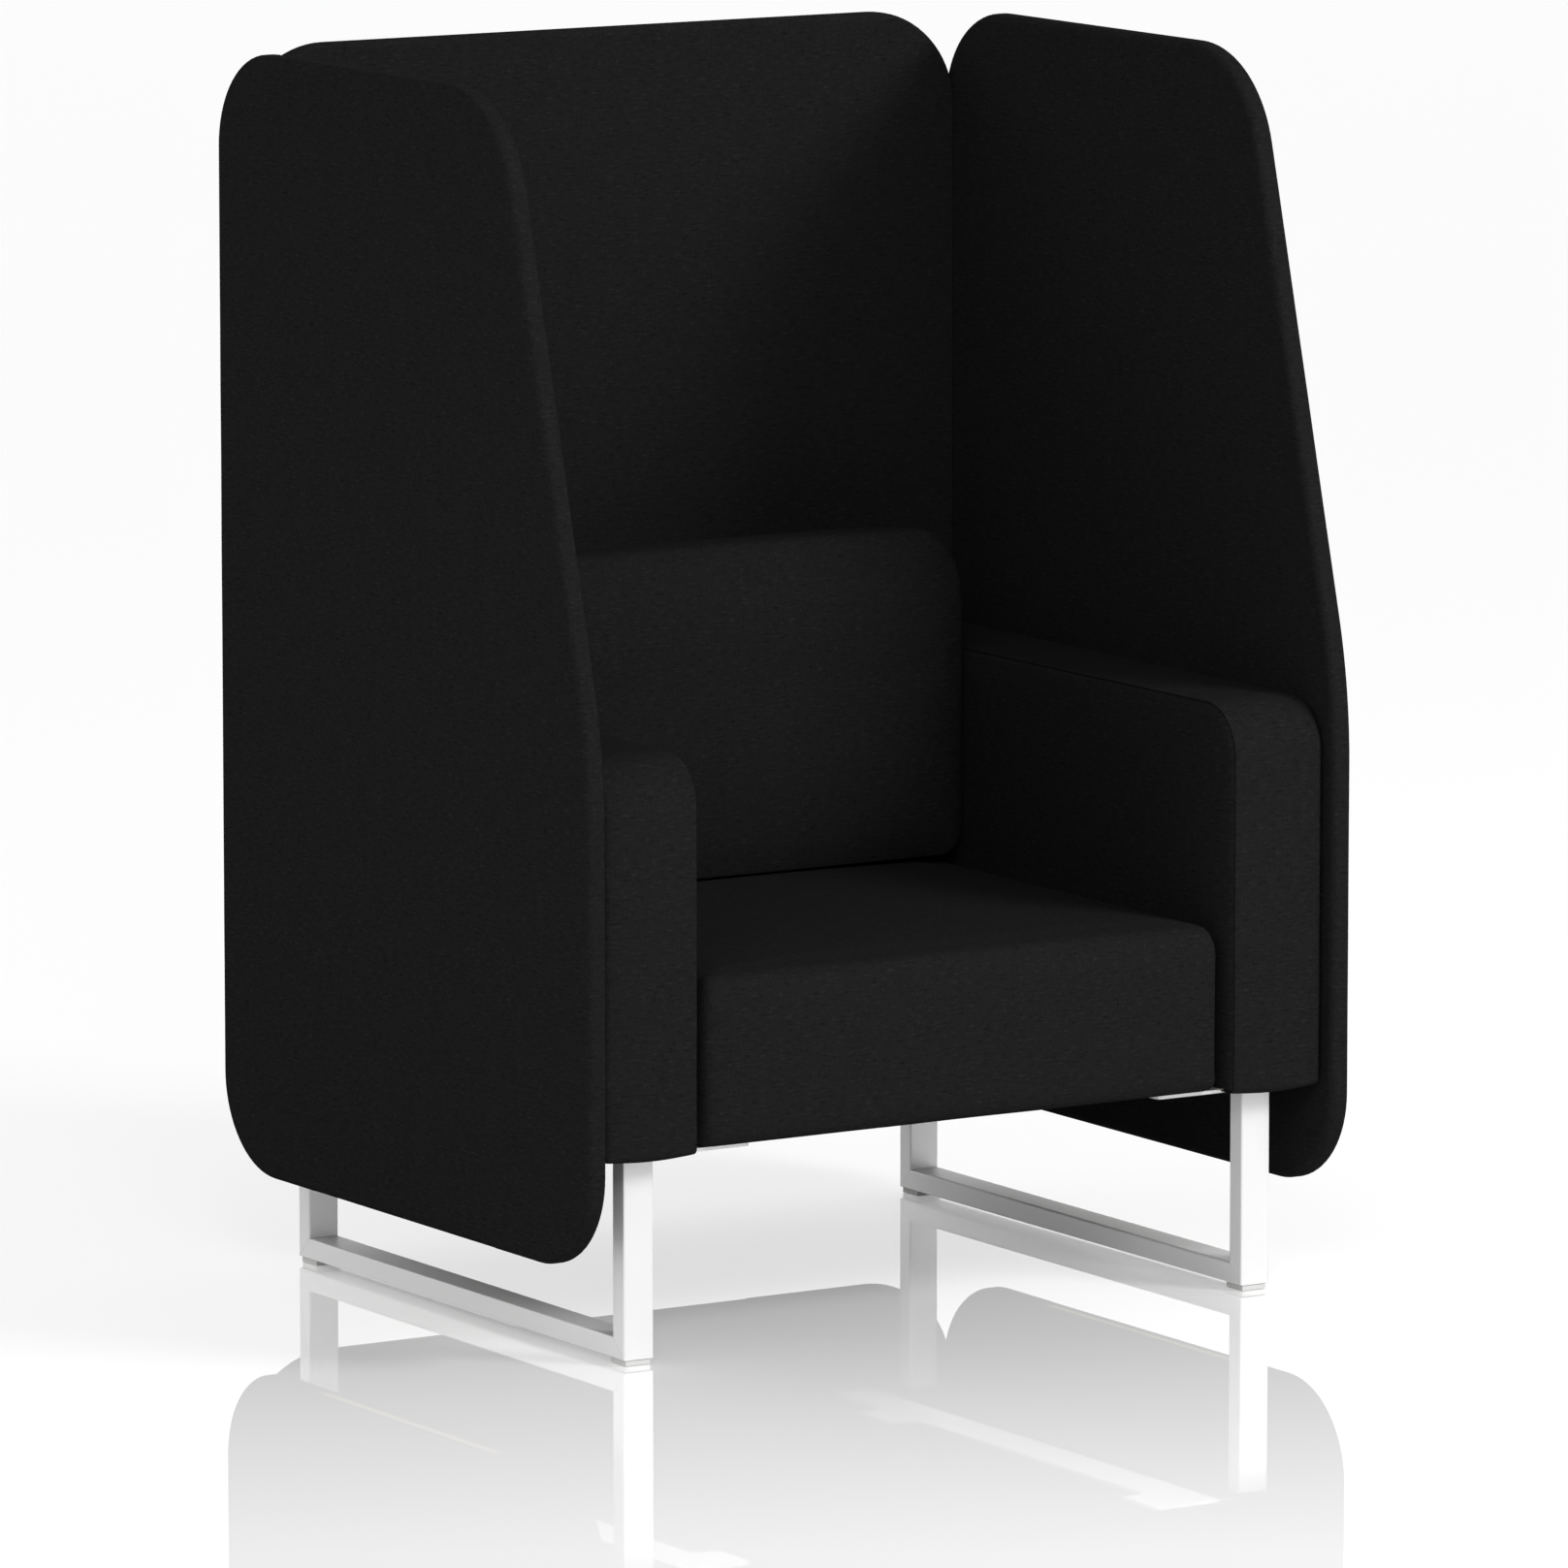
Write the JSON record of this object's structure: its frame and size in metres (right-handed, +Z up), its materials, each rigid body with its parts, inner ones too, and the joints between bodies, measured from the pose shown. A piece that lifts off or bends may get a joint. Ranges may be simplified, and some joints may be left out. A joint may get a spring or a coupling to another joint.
{
  "type": "privacy booth seat",
  "caption": "Upholstered single-seat privacy booth with tall rounded side and back screens, block arms, a seat, a back cushion and white steel sled legs.",
  "frame": {"origin": "on the floor under the middle of the booth's bounding box", "axes": "+Z up, -Y towards the front of the seat, +X to the right of someone who looks at the front"},
  "size_m": [1.05, 0.854, 1.456],
  "materials": {
    "black_upholstery_fabric": "matt woven wool-type fabric",
    "black_underside_cloth": "thin non-woven cloth",
    "white_painted_steel": "satin white powder coat",
    "birch_plywood": "raw sanded plywood",
    "beech_timber": "planed timber",
    "grey_elastic_webbing": "woven elastic strap",
    "zinc_plated_steel": "bright zinc plate",
    "white_nylon": "moulded, slightly rough",
    "black_nylon": "moulded"
  },
  "bodies": {
    "root": {"back_cushion": "black_upholstery_fabric", "back_cushion_board": "birch_plywood", "back_cushion_lower_left_clip": "black_nylon", "back_cushion_lower_right_clip": "black_nylon", "back_cushion_upper_left_clip": "black_nylon", "back_cushion_upper_right_clip": "black_nylon", "back_screen_board": "birch_plywood", "back_screen_cover": "black_upholstery_fabric", "left_arm_base_board": "birch_plywood", "left_arm_carcass": "birch_plywood", "left_arm_pad": "black_upholstery_fabric", "left_arm_underside_cloth": "black_underside_cloth", "left_floor_rail": "white_painted_steel", "left_front_arm_screw": "zinc_plated_steel", "left_front_foot_pad": "white_nylon", "left_front_screen_bolt": "zinc_plated_steel", "left_front_seat_screw": "zinc_plated_steel", "left_front_upright": "white_painted_steel", "left_lower_corner_dowel": "zinc_plated_steel", "left_mounting_plate": "white_painted_steel", "left_rear_arm_screw": "zinc_plated_steel", "left_rear_foot_pad": "white_nylon", "left_rear_screen_bolt": "zinc_plated_steel", "left_rear_seat_screw": "zinc_plated_steel", "left_rear_upright": "white_painted_steel", "left_side_screen_board": "birch_plywood", "left_side_screen_cover": "black_upholstery_fabric", "left_upper_corner_dowel": "zinc_plated_steel", "right_arm_base_board": "birch_plywood", "right_arm_carcass": "birch_plywood", "right_arm_pad": "black_upholstery_fabric", "right_arm_underside_cloth": "black_underside_cloth", "right_floor_rail": "white_painted_steel", "right_front_arm_screw": "zinc_plated_steel", "right_front_foot_pad": "white_nylon", "right_front_screen_bolt": "zinc_plated_steel", "right_front_seat_screw": "zinc_plated_steel", "right_front_upright": "white_painted_steel", "right_lower_corner_dowel": "zinc_plated_steel", "right_mounting_plate": "white_painted_steel", "right_rear_arm_screw": "zinc_plated_steel", "right_rear_foot_pad": "white_nylon", "right_rear_screen_bolt": "zinc_plated_steel", "right_rear_seat_screw": "zinc_plated_steel", "right_rear_upright": "white_painted_steel", "right_side_screen_board": "birch_plywood", "right_side_screen_cover": "black_upholstery_fabric", "right_upper_corner_dowel": "zinc_plated_steel", "seat_cushion": "black_upholstery_fabric", "seat_front_rail": "beech_timber", "seat_left_rail": "beech_timber", "seat_rear_rail": "beech_timber", "seat_right_rail": "beech_timber", "seat_underside_cloth": "black_underside_cloth", "seat_webbing_strap_1": "grey_elastic_webbing", "seat_webbing_strap_2": "grey_elastic_webbing", "seat_webbing_strap_3": "grey_elastic_webbing", "seat_webbing_strap_4": "grey_elastic_webbing"}
  },
  "joints": []
}
